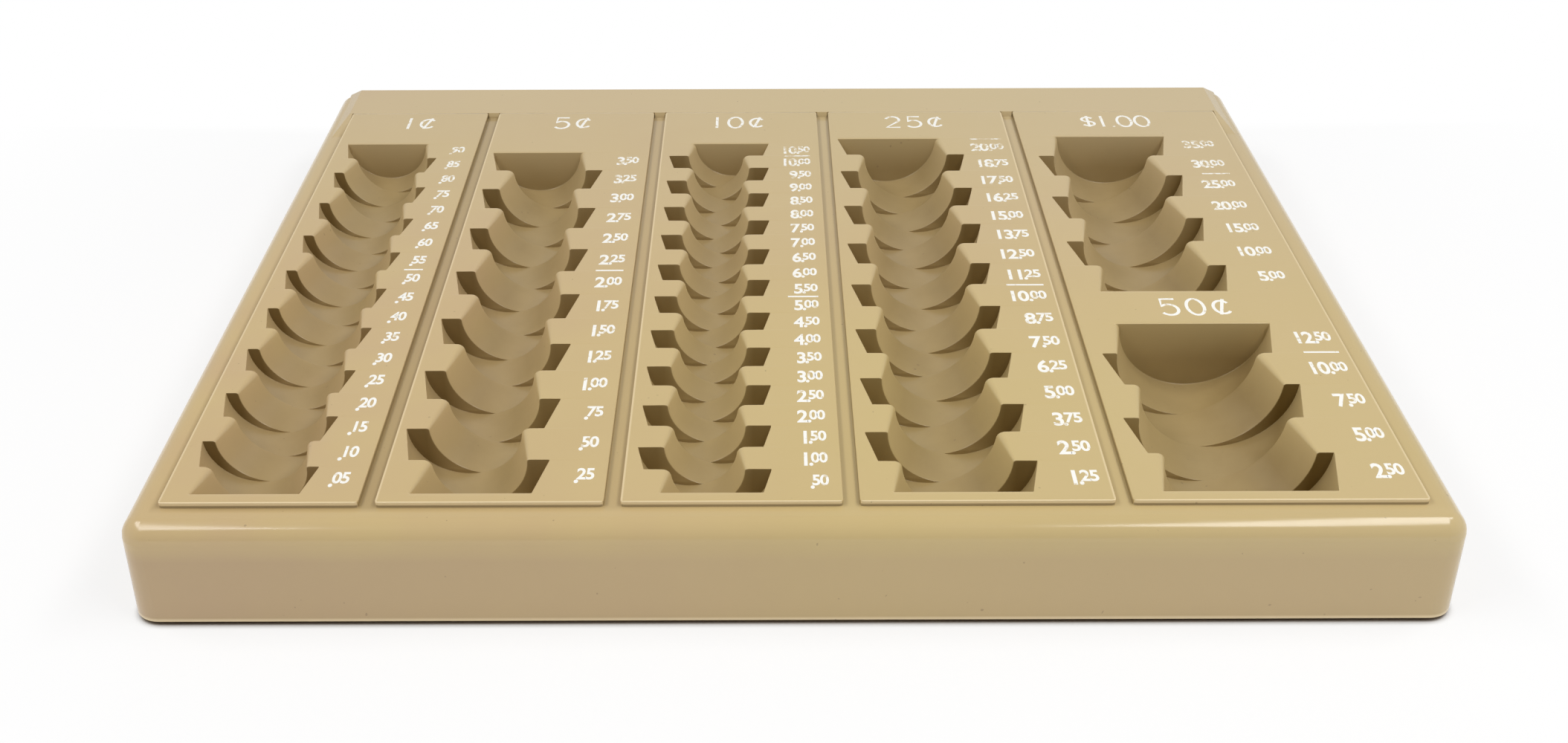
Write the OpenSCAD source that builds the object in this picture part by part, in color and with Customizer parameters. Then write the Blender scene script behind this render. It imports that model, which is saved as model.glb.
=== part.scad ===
// Counter coin tray: a moulded body with five drop-in coin racks.
// Every rack holds coins on edge in half-round cradles, five coins to a cradle,
// and the cradles swing left and right in turn so that each group can be counted by eye.
// Millimetres. X runs along the counter edge, Y to the back, Z up, feet on Z = 0.

/* [Body] */
// Distance from a side's bottom edge to the racks
side_margin = 7.4; // [5:0.1:15]
// Distance from the front bottom edge to the racks
front_margin = 7.4; // [5:0.1:15]
// Depth of the header strip behind the racks, at the bottom edge
header_d = 18.2; // [10:0.1:40]
// Length of the slope from the deck up to the front of the header strip
header_ramp = 1.2; // [1:0.1:8]
// Length of the header strip's slopes beside the outer racks
header_end = 12; // [2:0.5:40]
// Width of the header strip's top beyond the outer racks
header_rim = 0.9; // [0.3:0.1:2]
// Distance from the back bottom edge to the header strip's top
header_back = 3; // [2.5:0.1:6]
// Gap between the racks and the header strip
header_gap = 0.15; // [0.1:0.05:1]
// Room between the deepest cradle and the bottom edge of the walls
cradle_room = 5.8; // [2:0.1:20]
// Draft angle of the outer walls
draft = 3; // [0:0.5:5]
// Thickness of the walls
wall_t = 2.4; // [1.6:0.1:4]
// Thickness of the deck
deck_t = 2.2; // [1.6:0.1:3]
// Radius of the rounded top edge
edge_r = 3.8; // [1:0.1:3.8]
// Chamfer of the walls' outer bottom edge
bottom_chamfer = 0.4; // [0.1:0.1:1]
// Plan radius of the upright corners at the deck
corner_r = 4.2; // [3:0.1:10]
// Thickness of the stiffening ribs
rib_t = 1.6; // [1:0.1:2]
// Depth of the stiffening ribs below the deck
rib_h = 9; // [4:0.5:14]

/* [Racks] */
// Height of the rack plates above the deck
plate_t = 1.2; // [1:0.1:2]
// Plan radius of the plate corners
plate_corner_r = 0.7; // [0.7:0.1:3]
// Radius of the plates' top edges
plate_edge_r = 0.3; // [0.2:0.1:0.6]
// Width of the channel between two racks
channel_w = 3; // [2:0.1:6]
// Distance from the plates' front edge to the first cradle
cradle_front = 2.7; // [2.4:0.1:5]
// Distance between the half dollar cradles and the dollar cradles
pocket_gap = 13.5; // [8:0.1:30]
// Plate behind the longest row of cradles, for the headings
heading_d = 15.5; // [12:0.1:30]

/* [Cradles] */
// Coins in one cradle
coins_per_group = 5; // [3:1:6]
// Radial room around a coin
coin_fit = 0.2; // [0.1:0.05:0.5]
// Angle by which a cradle is turned to the left or right
yaw = 12.5; // [6:0.5:16]
// Wall thickness under and around the cradles
cradle_t = 1.1; // [0.8:0.1:1.3]
// Radius of the rounded lip on the inner side of a cradle
lip_r = 1.2; // [0.4:0.1:2.4]
// Room between a cradle wall and the opening in the deck
opening_fit = 0.25; // [0.1:0.05:0.4]
// Sideways swing of the cradles at their back ends
swing = 3.25; // [1.5:0.05:4.5]
// Sideways swing of the penny cradles at their back ends
penny_swing = 2.1; // [1.2:0.05:4]
// Sideways swing of the half dollar cradles at their back ends
half_swing = 2.85; // [1.5:0.05:4.5]

/* [Coins] */
// Penny diameter
penny_coin_d = 19.05; // [18:0.01:20]
// Penny thickness
penny_coin_t = 1.52; // [1.4:0.01:1.6]
// Nickel diameter
nickel_coin_d = 21.21; // [20:0.01:22]
// Nickel thickness
nickel_coin_t = 1.95; // [1.8:0.01:2.1]
// Dime diameter
dime_coin_d = 17.91; // [17:0.01:19]
// Dime thickness
dime_coin_t = 1.35; // [1.25:0.01:1.45]
// Quarter diameter
quarter_coin_d = 24.26; // [23:0.01:25]
// Quarter thickness
quarter_coin_t = 1.75; // [1.6:0.01:1.85]
// Half dollar diameter
half_coin_d = 30.61; // [29:0.01:31]
// Half dollar thickness
half_coin_t = 2.15; // [2:0.01:2.3]
// Dollar diameter
dollar_coin_d = 26.49; // [25:0.01:28]
// Dollar thickness
dollar_coin_t = 2; // [1.9:0.01:2.2]

/* [Counts and slack] */
// Penny cradles
penny_groups = 18; // [4:1:30]
// Nickel cradles
nickel_groups = 14; // [4:1:30]
// Dime cradles
dime_groups = 21; // [4:1:30]
// Quarter cradles
quarter_groups = 16; // [4:1:30]
// Half dollar cradles
half_groups = 5; // [2:1:12]
// Dollar cradles
dollar_groups = 7; // [2:1:12]
// Spare length in a penny cradle
penny_slack = 0.46; // [0.1:0.02:1.4]
// Spare length in a nickel cradle
nickel_slack = 0.24; // [0.1:0.02:1.4]
// Spare length in a dime cradle
dime_slack = 0.14; // [0.1:0.02:1.4]
// Spare length in a quarter cradle
quarter_slack = 0.46; // [0.1:0.02:1.4]
// Spare length in a half dollar cradle
half_slack = 0.66; // [0.1:0.02:1.4]
// Spare length in a dollar cradle
dollar_slack = 1.1; // [0.1:0.02:1.4]

/* [Plate beside the cradles] */
// Plate left of the penny cradles
penny_edge = 2.7; // [2.2:0.1:4]
// Plate left of the nickel cradles
nickel_edge = 1.7; // [1.5:0.1:4]
// Plate left of the dime cradles
dime_edge = 2.2; // [2:0.1:4]
// Plate left of the quarter cradles
quarter_edge = 2; // [2:0.1:4]
// Plate left of the half dollar cradles
half_edge = 3; // [2:0.1:4]
// Plate left of the dollar cradles
dollar_edge = 3.2; // [2:0.1:4]
// Plate right of the penny cradles, for the numbers
penny_strip = 9.4; // [9:0.1:20]
// Plate right of the nickel cradles, for the numbers
nickel_strip = 11.1; // [9:0.1:20]
// Plate right of the dime cradles, for the numbers
dime_strip = 12.9; // [9:0.1:20]
// Plate right of the quarter cradles, for the numbers
quarter_strip = 12.6; // [9:0.1:20]
// Plate right of the larger of the half dollar and dollar cradles, for the numbers
half_strip = 13.3; // [9:0.1:20]

/* [Fixings] */
// Diameter of the screw bosses under the racks
boss_d = 4.6; // [4:0.1:5]
// Length of the screw bosses below the deck
boss_l = 6; // [4:0.5:9]
// Room between a boss and its tube
boss_fit = 0.15; // [0.1:0.05:0.3]
// Wall of the tubes that take the bosses
tube_t = 1; // [0.8:0.1:1.3]
// Step from the end of a boss to the end of its tube
tube_lead = 0.3; // [0.2:0.1:0.6]
// Distance from a plate's side to the tubes under it
tube_inset = 0.35; // [0.2:0.05:0.5]
// Distance from a plate's front or back to the tubes under it
tube_end = 2.5; // [1:0.1:5]
// Diameter of the screw shank
screw_d = 2.2; // [1.8:0.1:2.6]
// Distance from a screw's tip to the underside of the deck
screw_tip = 0.8; // [0.2:0.1:2]
// Diameter of the screw head
head_d = 6.2; // [5.8:0.1:6.6]
// Height of the screw head
head_h = 1.8; // [1.2:0.1:2.2]
// Room around the screw shank
screw_fit = 0.02; // [0.01:0.01:0.05]

/* [Feet] */
// Diameter of a foot
foot_d = 10; // [8:0.5:14]
// Height of a foot below its pad
foot_h = 3; // [2:0.1:5]
// How far the feet stand below the walls
foot_gap = 0.6; // [0.3:0.1:2]
// Radius of the round lower edge of a foot
foot_edge_r = 0.8; // [0.3:0.1:1.5]
// Diameter of the neck of a foot
neck_d = 4; // [3:0.1:5]
// Room around the neck
neck_fit = 0.02; // [0.01:0.01:0.05]
// Diameter of the bulb that holds a foot in its shelf
bulb_d = 5.2; // [5.1:0.1:6]
// Length of the bulb
bulb_l = 2.6; // [1.5:0.1:3]
// Room between the bulb and the shelf
bulb_fit = 0.1; // [0.05:0.05:0.3]
// Thickness of the corner shelf that carries a foot
shelf_t = 2.4; // [1.6:0.1:3]
// Width of the shelf round a foot
shelf_rim = 1.5; // [1:0.1:3]
// Distance from the bottom edge of a wall to the side of a foot
foot_inset = 5; // [4.5:0.1:8]

/* [Hidden] */
$fn = 64;

beige = [0.80, 0.72, 0.56];
rubber_grey = [0.25, 0.24, 0.23];
zinc = [0.72, 0.72, 0.74];

// A cut runs this far past the face that it opens
over = 1;
// Pieces that are fused reach this far into each other
fuse = 0.5;
// The header strip's slopes end at these angles on the rounded edge, at this share of its radius
back_turn = 45;
end_turn = 22;
sunk = 0.96;

// A row of cradles: rack, coin diameter, coin thickness, cradles, slack, swing, edge, strip, start
function group_l(coin_t, slack) = coins_per_group * coin_t + slack;
dollar_start = cradle_front + half_groups * group_l(half_coin_t, half_slack) + pocket_gap;
penny = [0, penny_coin_d, penny_coin_t, penny_groups, penny_slack,
    penny_swing, penny_edge, penny_strip, cradle_front];
nickel = [1, nickel_coin_d, nickel_coin_t, nickel_groups, nickel_slack,
    swing, nickel_edge, nickel_strip, cradle_front];
dime = [2, dime_coin_d, dime_coin_t, dime_groups, dime_slack,
    swing, dime_edge, dime_strip, cradle_front];
quarter = [3, quarter_coin_d, quarter_coin_t, quarter_groups, quarter_slack,
    swing, quarter_edge, quarter_strip, cradle_front];
half = [4, half_coin_d, half_coin_t, half_groups, half_slack,
    half_swing, half_edge, half_strip, cradle_front];
dollar = [4, dollar_coin_d, dollar_coin_t, dollar_groups, dollar_slack,
    swing, dollar_edge, half_strip, dollar_start];
rows = [penny, nickel, dime, quarter, half, dollar];
rack_numbers = [0 : 4];

function rack_of(c) = c[0];
function cradle_r(c) = c[1] / 2 + coin_fit;
function pitch(c) = group_l(c[2], c[4]);
function cradles(c) = [0 : c[3] - 1];
function swing_of(c) = c[5];
function edge_of(c) = c[6];
function strip_of(c) = c[7];
function start_of(c) = c[8];
function row_l(c) = c[3] * pitch(c);
function rows_of(n) = [for (c = rows) if (rack_of(c) == n) c];

// How far a row of cradles, or the shell around it, reaches to the left and right
function sway(c) = max(swing_of(c), pitch(c) * tan(yaw) - swing_of(c));
function reach(c) = sway(c) + cradle_r(c) / cos(yaw);
function shell_reach(c) = sway(c) + cradle_t * tan(yaw) + (cradle_r(c) + cradle_t) / cos(yaw);

function sum_to(list, n) = n <= 0 ? 0 : list[n - 1] + sum_to(list, n - 1);
rack_widths = [for (n = rack_numbers)
    max([for (c = rows_of(n)) edge_of(c) + 2 * reach(c) + strip_of(c)])];
rack_d = max([for (c = rows) start_of(c) + row_l(c)]) + heading_d;
racks_w = sum_to(rack_widths, len(rack_widths)) + (len(rack_widths) - 1) * channel_w;
body_w = racks_w + 2 * side_margin;
body_d = front_margin + rack_d + header_gap + header_d;

top_edge = min(edge_r, corner_r);
wall_h = cradle_room + max([for (c = rows) cradle_r(c)]) + cradle_t - plate_t;
wall_z = foot_gap;
deck_z = wall_z + wall_h;
under_deck_z = deck_z - deck_t;
top_z = deck_z + plate_t;
rack_y = front_margin - body_d / 2;
header_y = rack_y + rack_d + header_gap;

function rack_x(n) = sum_to(rack_widths, n) + n * channel_w - racks_w / 2;
function row_x(c) = rack_x(rack_of(c)) + edge_of(c) + reach(c);
function row_y(c) = rack_y + start_of(c);
// The first cradle swings to the right, the next one to the left, and so on
function side(i) = i % 2 == 0 ? 1 : -1;
function cradle_x(c, i) = row_x(c) + side(i) * (swing_of(c) - pitch(c) / 2 * tan(yaw));
function cradle_y(c, i) = row_y(c) + (i + 0.5) * pitch(c);
// Angle from the upright at which a lip's arc meets the top of the plate
lip_crest = 8;

tube_id = boss_d + 2 * boss_fit;
tube_od = tube_id + 2 * tube_t;
screw_x = tube_inset + tube_od / 2;
screw_y = tube_end + tube_od / 2;
function screw_spots(n) = [
    [rack_x(n) + rack_widths[n] - screw_x, rack_y + screw_y],
    [rack_x(n) + rack_widths[n] - screw_x, rack_y + rack_d - screw_y],
    [rack_x(n) + screw_x, rack_y + rack_d - screw_y]];
boss_end_z = under_deck_z - boss_l;
tube_end_z = boss_end_z - tube_lead;
screw_l = boss_l + tube_lead - screw_tip;

shelf_d = foot_d + 2 * shelf_rim;
foot_x = body_w / 2 - foot_inset - foot_d / 2;
foot_y = body_d / 2 - foot_inset - foot_d / 2;

// A right-angled block with round upright corners, sloping sides, a round top edge and a bottom chamfer.
// w and d are its sizes at the bottom, r its corner radius at the top.
module moulded_block(w, d, h, r, lean, top_r, chamfer) {
    foot_r = r + h * tan(lean);
    cx = w / 2 - foot_r;
    cy = d / 2 - foot_r;
    // The edge's arc touches the leaning side and the top
    arc_x = r + top_r * (tan(lean) - 1 / cos(lean));
    module section() {
        if (top_r > 0) {
            polygon([[0, 0], [foot_r - chamfer, 0], [foot_r - chamfer * tan(lean), chamfer],
                [arc_x + top_r * cos(lean), h - top_r + top_r * sin(lean)],
                [arc_x, h - top_r], [arc_x, h], [0, h]]);
            intersection() {
                translate([arc_x, h - top_r]) circle(top_r);
                translate([arc_x, h - top_r]) square(top_r + over);
            }
        } else {
            polygon([[0, 0], [foot_r, 0], [r, h], [0, h]]);
        }
    }
    for (sx = [-1, 1], sy = [-1, 1]) translate([sx * cx, sy * cy, 0]) rotate_extrude() section();
    for (sx = [0, 180]) rotate([0, 0, sx]) translate([cx, cy, 0]) rotate([90, 0, 0])
        linear_extrude(2 * cy) section();
    for (sy = [0, 180]) rotate([0, 0, sy]) translate([-cx, cy, 0]) rotate([90, 0, 90])
        linear_extrude(2 * cx) section();
    translate([-cx, -cy, 0]) cube([2 * cx, 2 * cy, h]);
}

module body_skin() {
    translate([0, 0, wall_z])
        moulded_block(body_w, body_d, wall_h, corner_r, draft, top_edge, bottom_chamfer);
}

// The space under the deck, open at the bottom
module hollow() {
    least_r = 0.5;
    inner_r = max(corner_r - wall_t + deck_t * tan(draft), least_r);
    spread = 2 * over * tan(draft) - 2 * wall_t;
    translate([0, 0, wall_z - over])
        moulded_block(body_w + spread, body_d + spread, wall_h - deck_t + over, inner_r, draft, 0, 0);
}

// A place just inside the deck's rounded edge, at an angle from the upright; half is half the body's size
function in_edge(half, turn) = [
    half - wall_h * tan(draft) - top_edge * (1 / cos(draft) - tan(draft)) + sunk * top_edge * sin(turn),
    deck_z - top_edge + sunk * top_edge * cos(turn)];

// Level with the rack plates, with slopes down to the deck in front and into its rounded edge elsewhere
module header_strip() {
    top_x = racks_w / 2 + header_rim;
    back = in_edge(body_d / 2, back_turn);
    end = in_edge(body_w / 2, end_turn);
    difference() {
        intersection() {
            translate([-body_w / 2, 0, 0]) rotate([90, 0, 90]) linear_extrude(body_w)
                polygon([[header_y - header_end * (top_z - back[1]) / plate_t, back[1]],
                    [header_y, top_z], [body_d / 2 - header_back, top_z], back]);
            translate([0, body_d / 2, 0]) rotate([90, 0, 0]) linear_extrude(body_d)
                polygon([[-end[0], deck_z - deck_t / 2], [end[0], deck_z - deck_t / 2], end,
                    [top_x, top_z], [-top_x, top_z], [-end[0], end[1]]]);
        }
        // Shorter slopes in the channels, and the racks' places
        translate([-racks_w / 2 - header_gap, 0, 0]) rotate([90, 0, 90])
            linear_extrude(racks_w + 2 * header_gap)
                polygon([[header_y - header_ramp, deck_z], [header_y, top_z], [header_y, top_z + over],
                    [header_y - rack_d, top_z + over], [header_y - rack_d, deck_z]]);
        for (n = rack_numbers) translate([rack_x(n) - header_gap, header_y - rack_d, deck_z])
            cube([rack_widths[n] + 2 * header_gap, rack_d, plate_t + over]);
    }
}

// Ribs under the channels between the racks
module ribs() {
    for (n = [1 : len(rack_widths) - 1])
        translate([rack_x(n) - channel_w / 2 - rib_t / 2, -body_d / 2, under_deck_z - rib_h])
            cube([rib_t, body_d, rib_h + fuse]);
}

// Tubes that take the screw bosses of the racks
module tubes() {
    for (n = rack_numbers, p = screw_spots(n)) translate([p[0], p[1], tube_end_z])
        cylinder(h = under_deck_z - tube_end_z + fuse, d = tube_od);
}

// Shelves across the corners, which carry the feet
module foot_shelves() {
    wall_x = body_w / 2 - foot_x;
    wall_y = body_d / 2 - foot_y;
    for (sx = [0, 1], sy = [0, 1]) mirror([sx, 0, 0]) mirror([0, sy, 0])
        translate([foot_x, foot_y, foot_h]) {
            cylinder(h = shelf_t, d = shelf_d);
            translate([-shelf_d / 2, 0, 0]) cube([shelf_d / 2 + wall_x, wall_y, shelf_t]);
            translate([0, -shelf_d / 2, 0]) cube([wall_x, shelf_d / 2 + wall_y, shelf_t]);
        }
}

module tray_body() {
    color(beige) difference() {
        union() {
            body_skin();
            header_strip();
        }
        difference() {
            hollow();
            ribs();
            tubes();
            foot_shelves();
        }
        // Openings for the cradles
        for (c = rows) translate([row_x(c) - shell_reach(c) - opening_fit,
                row_y(c) - cradle_t - opening_fit, under_deck_z - over])
            cube([2 * (shell_reach(c) + opening_fit),
                row_l(c) + 2 * (cradle_t + opening_fit), deck_t + 2 * over]);
        for (n = rack_numbers, p = screw_spots(n)) translate([p[0], p[1], tube_end_z - over])
            cylinder(h = deck_z - tube_end_z + 2 * over, d = tube_id);
        for (sx = [-1, 1], sy = [-1, 1]) translate([sx * foot_x, sy * foot_y, foot_h - over])
            cylinder(h = shelf_t + 2 * over, d = neck_d + 2 * neck_fit);
    }
}

// One cradle as a turned round bar of radius r between two upright planes, grown by g at both ends
module cradle_bar(c, i, r, g, z_hi) {
    p = pitch(c) + 2 * g;
    bar_l = p / cos(yaw) + 2 * (r + over) * tan(yaw) + over;
    translate([cradle_x(c, i), cradle_y(c, i), top_z]) intersection() {
        rotate([0, 0, -side(i) * yaw]) rotate([90, 0, 0]) cylinder(h = bar_l, r = r, center = true);
        translate([-2 * r, -p / 2, -r - over]) cube([4 * r, p, r + over + z_hi]);
    }
}

// Rounds the lip on the side that a cradle swings away from
module cradle_lip(c, i) {
    p = pitch(c);
    r = cradle_r(c);
    lip_z = lip_r * cos(lip_crest);
    lip_x = sqrt(pow(r, 2) + pow(lip_r, 2) + 2 * r * lip_r * cos(lip_crest) - pow(lip_z, 2));
    lip_l = 2 * (p / cos(yaw) + 2 * r * tan(yaw));
    translate([cradle_x(c, i), cradle_y(c, i), top_z]) intersection() {
        rotate([0, 0, -side(i) * yaw]) rotate([90, 0, 0]) linear_extrude(lip_l, center = true)
            scale([-side(i), 1]) difference() {
                polygon([[r / 2, over], [lip_x, over], [lip_x, -lip_z], [r / 2, -lip_z * r / 2 / lip_x]]);
                translate([lip_x, -lip_z]) circle(lip_r);
            }
        translate([-2 * r, -p / 2, -r]) cube([4 * r, p, r + 2 * over]);
    }
}

module rack(n) {
    edge = min(plate_edge_r, plate_corner_r, plate_t);
    pilot_l = screw_l - tube_lead + over;
    difference() {
        union() {
            translate([rack_x(n) + rack_widths[n] / 2, rack_y + rack_d / 2, deck_z])
                moulded_block(rack_widths[n], rack_d, plate_t, plate_corner_r, 0, edge, 0);
            for (c = rows_of(n), i = cradles(c))
                cradle_bar(c, i, cradle_r(c) + cradle_t, cradle_t, -plate_t / 2);
            for (p = screw_spots(n)) translate([p[0], p[1], boss_end_z])
                cylinder(h = deck_z - boss_end_z + plate_t / 2, d = boss_d);
        }
        for (c = rows_of(n), i = cradles(c)) cradle_bar(c, i, cradle_r(c), 0, over);
        for (c = rows_of(n), i = cradles(c)) cradle_lip(c, i);
        for (p = screw_spots(n)) translate([p[0], p[1], boss_end_z - over])
            cylinder(h = pilot_l + over, d = screw_d + 2 * screw_fit);
    }
}

module penny_rack() { color(beige) rack(0); }
module nickel_rack() { color(beige) rack(1); }
module dime_rack() { color(beige) rack(2); }
module quarter_rack() { color(beige) rack(3); }
module dollar_half_rack() { color(beige) rack(4); }

// Pan head screws that pull a rack down on the deck
module rack_screws(n) {
    for (p = screw_spots(n)) translate([p[0], p[1], tube_end_z]) {
        cylinder(h = screw_l, d = screw_d);
        translate([0, 0, -head_h]) cylinder(h = head_h, d = head_d);
    }
}

module penny_rack_screws() { color(zinc) rack_screws(0); }
module nickel_rack_screws() { color(zinc) rack_screws(1); }
module dime_rack_screws() { color(zinc) rack_screws(2); }
module quarter_rack_screws() { color(zinc) rack_screws(3); }
module dollar_half_rack_screws() { color(zinc) rack_screws(4); }

// Rubber foot whose bulb is pushed up through the hole in its shelf
module foot(sx, sy) {
    bulb_z = foot_h + shelf_t + bulb_fit;
    tip_d = neck_d / 2;
    color(rubber_grey) translate([sx * foot_x, sy * foot_y, 0]) rotate_extrude() {
        translate([0, foot_edge_r]) square([foot_d / 2, foot_h - foot_edge_r]);
        square([foot_d / 2 - foot_edge_r, foot_edge_r]);
        intersection() {
            translate([foot_d / 2 - foot_edge_r, foot_edge_r]) circle(foot_edge_r);
            square(foot_d);
        }
        square([neck_d / 2, bulb_z]);
        polygon([[0, bulb_z], [bulb_d / 2, bulb_z], [tip_d / 2, bulb_z + bulb_l], [0, bulb_z + bulb_l]]);
    }
}

module front_left_foot() { foot(-1, -1); }
module front_right_foot() { foot(1, -1); }
module rear_left_foot() { foot(-1, 1); }
module rear_right_foot() { foot(1, 1); }

tray_body();
penny_rack();
nickel_rack();
dime_rack();
quarter_rack();
dollar_half_rack();
penny_rack_screws();
nickel_rack_screws();
dime_rack_screws();
quarter_rack_screws();
dollar_half_rack_screws();
front_left_foot();
front_right_foot();
rear_left_foot();
rear_right_foot();
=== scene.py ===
import math
from functools import partial

import bpy
import numpy as np
from bpy.props import FloatProperty, FloatVectorProperty, IntProperty, PointerProperty
from mathutils import Matrix, Vector


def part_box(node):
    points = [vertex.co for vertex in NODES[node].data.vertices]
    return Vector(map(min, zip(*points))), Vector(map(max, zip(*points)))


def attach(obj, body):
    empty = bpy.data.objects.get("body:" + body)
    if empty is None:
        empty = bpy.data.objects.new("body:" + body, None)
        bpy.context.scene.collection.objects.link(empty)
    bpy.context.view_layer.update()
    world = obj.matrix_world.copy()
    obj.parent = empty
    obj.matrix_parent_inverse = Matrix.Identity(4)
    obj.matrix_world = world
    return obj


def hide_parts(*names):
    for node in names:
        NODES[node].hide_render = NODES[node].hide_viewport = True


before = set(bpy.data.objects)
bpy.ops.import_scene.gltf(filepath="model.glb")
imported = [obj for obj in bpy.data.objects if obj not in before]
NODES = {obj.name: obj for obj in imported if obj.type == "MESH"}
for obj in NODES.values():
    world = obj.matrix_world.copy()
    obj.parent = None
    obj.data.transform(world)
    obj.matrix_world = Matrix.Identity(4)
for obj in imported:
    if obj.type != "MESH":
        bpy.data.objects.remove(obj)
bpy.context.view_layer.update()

bl_info = {
    "name": "Counter coin tray",
    "version": (1, 0, 0),
    "blender": (4, 5, 0),
    "location": "3D View > Sidebar > Coin Tray",
    "description": "Dresses the coin tray: moulded racks, printed numbers, fixings, feet and a small studio",
    "category": "Object",
}

MM = 0.001


# Settings

def length(label, text, millimetres):
    """A length that a user may change, given in millimetres."""
    return FloatProperty(name=label, description=text, default=millimetres * MM, precision=5, unit="LENGTH")


def colour(label, text, rgb):
    """A linear colour that a user may change."""
    return FloatVectorProperty(name=label, description=text, default=rgb, size=3, min=0, max=1,
                               subtype="COLOR")


def share(label, text, value):
    """A number from 0 to 1 that a user may change."""
    return FloatProperty(name=label, description=text, default=value, min=0, max=1, subtype="FACTOR")


def count(label, text, number):
    """A whole number that a user may change."""
    return IntProperty(name=label, description=text, default=number, min=1)


def power(label, text, watts):
    """The power of a lamp, which a user may change."""
    return FloatProperty(name=label, description=text, default=watts, min=0, unit="POWER")


def coin_row(class_name, coin, diameter, thickness, cradles, slack, swing, edge, cents, roll, digit, wide,
             shift, inset, line):
    """A property group with the sizes and values of one row of cradles."""
    sizes = {
        "coin_d": length("Coin diameter", f"Diameter of a {coin}", diameter),
        "coin_t": length("Coin thickness", f"Thickness of a {coin}", thickness),
        "cradles": count("Cradles", "Cradles in the row", cradles),
        "slack": length("Slack", "Spare length in a cradle", slack),
        "swing": length("Swing", "Sideways swing of a cradle at its back end", swing),
        "edge": length("Edge", "Plate left of the cradles", edge),
        "cents": count("Value", f"Value of a {coin} in cents", cents),
        "roll": count("Roll", "Coins in a full roll", roll),
        "digit_h": length("Digit height", "Height of the large digits beside the row", digit),
        "wide": share("Digit width", "Width of the digits as a share of the font's own width", wide),
        "shift": length("Number shift", "How far a number lies behind the middle of its cradle", shift),
        "inset": length("Number inset", "Distance from the plate's right edge to the numbers", inset),
        "line": length("Line length", "Length of the line behind a full roll", line),
    }
    return type(class_name, (bpy.types.PropertyGroup,), {"__annotations__": sizes})


PennyRow = coin_row(
    "COINTRAY_PennyRow", "penny", diameter=19.05, thickness=1.52, cradles=18, slack=0.46, swing=2.1,
    edge=2.7, cents=1, roll=50, digit=4.4, wide=0.76, shift=0.2, inset=2.9, line=4.2)
NickelRow = coin_row(
    "COINTRAY_NickelRow", "nickel", diameter=21.21, thickness=1.95, cradles=14, slack=0.24, swing=3.25,
    edge=1.7, cents=5, roll=40, digit=4.4, wide=0.78, shift=0.2, inset=2.3, line=6.2)
DimeRow = coin_row(
    "COINTRAY_DimeRow", "dime", diameter=17.91, thickness=1.35, cradles=21, slack=0.14, swing=3.25,
    edge=2.2, cents=10, roll=50, digit=4.1, wide=0.77, shift=-0.3, inset=2.4, line=6.6)
QuarterRow = coin_row(
    "COINTRAY_QuarterRow", "quarter", diameter=24.26, thickness=1.75, cradles=16, slack=0.46, swing=3.25,
    edge=2.0, cents=25, roll=40, digit=4.3, wide=0.84, shift=-0.4, inset=2.0, line=8.2)
HalfRow = coin_row(
    "COINTRAY_HalfRow", "half dollar", diameter=30.61, thickness=2.15, cradles=5, slack=0.66, swing=2.85,
    edge=3.0, cents=50, roll=20, digit=4.4, wide=0.79, shift=0.2, inset=2.0, line=7.3)
DollarRow = coin_row(
    "COINTRAY_DollarRow", "dollar", diameter=26.49, thickness=2.0, cradles=7, slack=1.1, swing=3.25,
    edge=3.2, cents=100, roll=25, digit=4.2, wide=0.84, shift=0.8, inset=4.6, line=6.9)


class COINTRAY_CradleSizes(bpy.types.PropertyGroup):
    """Sizes that all cradles share"""
    coins: count("Coins", "Coins in one cradle", 5)
    yaw: FloatProperty(name="Yaw", description="Angle by which a cradle is turned to the left or right",
                       default=math.radians(12.5), subtype="ANGLE")
    room: length("Coin room", "Radial room around a coin", 0.2)
    wall: length("Wall", "Wall thickness under and around the cradles", 1.1)
    lip_front: length("Lip radius in front", "Radius of the inner lip at the front end of a cradle", 0.5)
    lip_back: length("Lip radius behind", "Radius of the inner lip at the back end of a cradle", 1.5)
    rim: length("Rim radius", "Radius of the edge on the other side of a cradle", 0.15)
    step: length("Step radius", "Radius of the edges where one cradle meets the next", 0.2)
    front: length("Front strip", "Distance from a plate's front edge to the first cradle", 2.7)
    gap: length("Pocket gap", "Distance between the half dollar cradles and the dollar cradles", 13.5)


class COINTRAY_PlateSizes(bpy.types.PropertyGroup):
    """Sizes of the rack plates and of the bosses below them"""
    thickness: length("Thickness", "Height of the plates above the deck", 1.2)
    edge: length("Edge radius", "Radius of a plate's top edges", 0.16)
    back_gap: length("Back gap", "Gap to the header that a plate's back edge closes", 0.148)
    corner: length("Corner radius", "Plan radius of a plate's corners", 0.7)
    boss_d: length("Boss diameter", "Diameter of the screw bosses", 4.6)
    boss_l: length("Boss length", "Length of the bosses below the plate", 8.2)
    boss_side: length("Boss inset", "Distance from a plate's side to the middle of a boss", 3.8)
    boss_end: length("Boss end inset", "Distance from a plate's front or back to the middle of a boss", 5.95)
    pilot_d: length("Pilot diameter", "Diameter of the pilot hole in a boss", 2.24)
    pilot_depth: share("Pilot depth", "Depth of the pilot hole as a share of the boss", 0.75)


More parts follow.
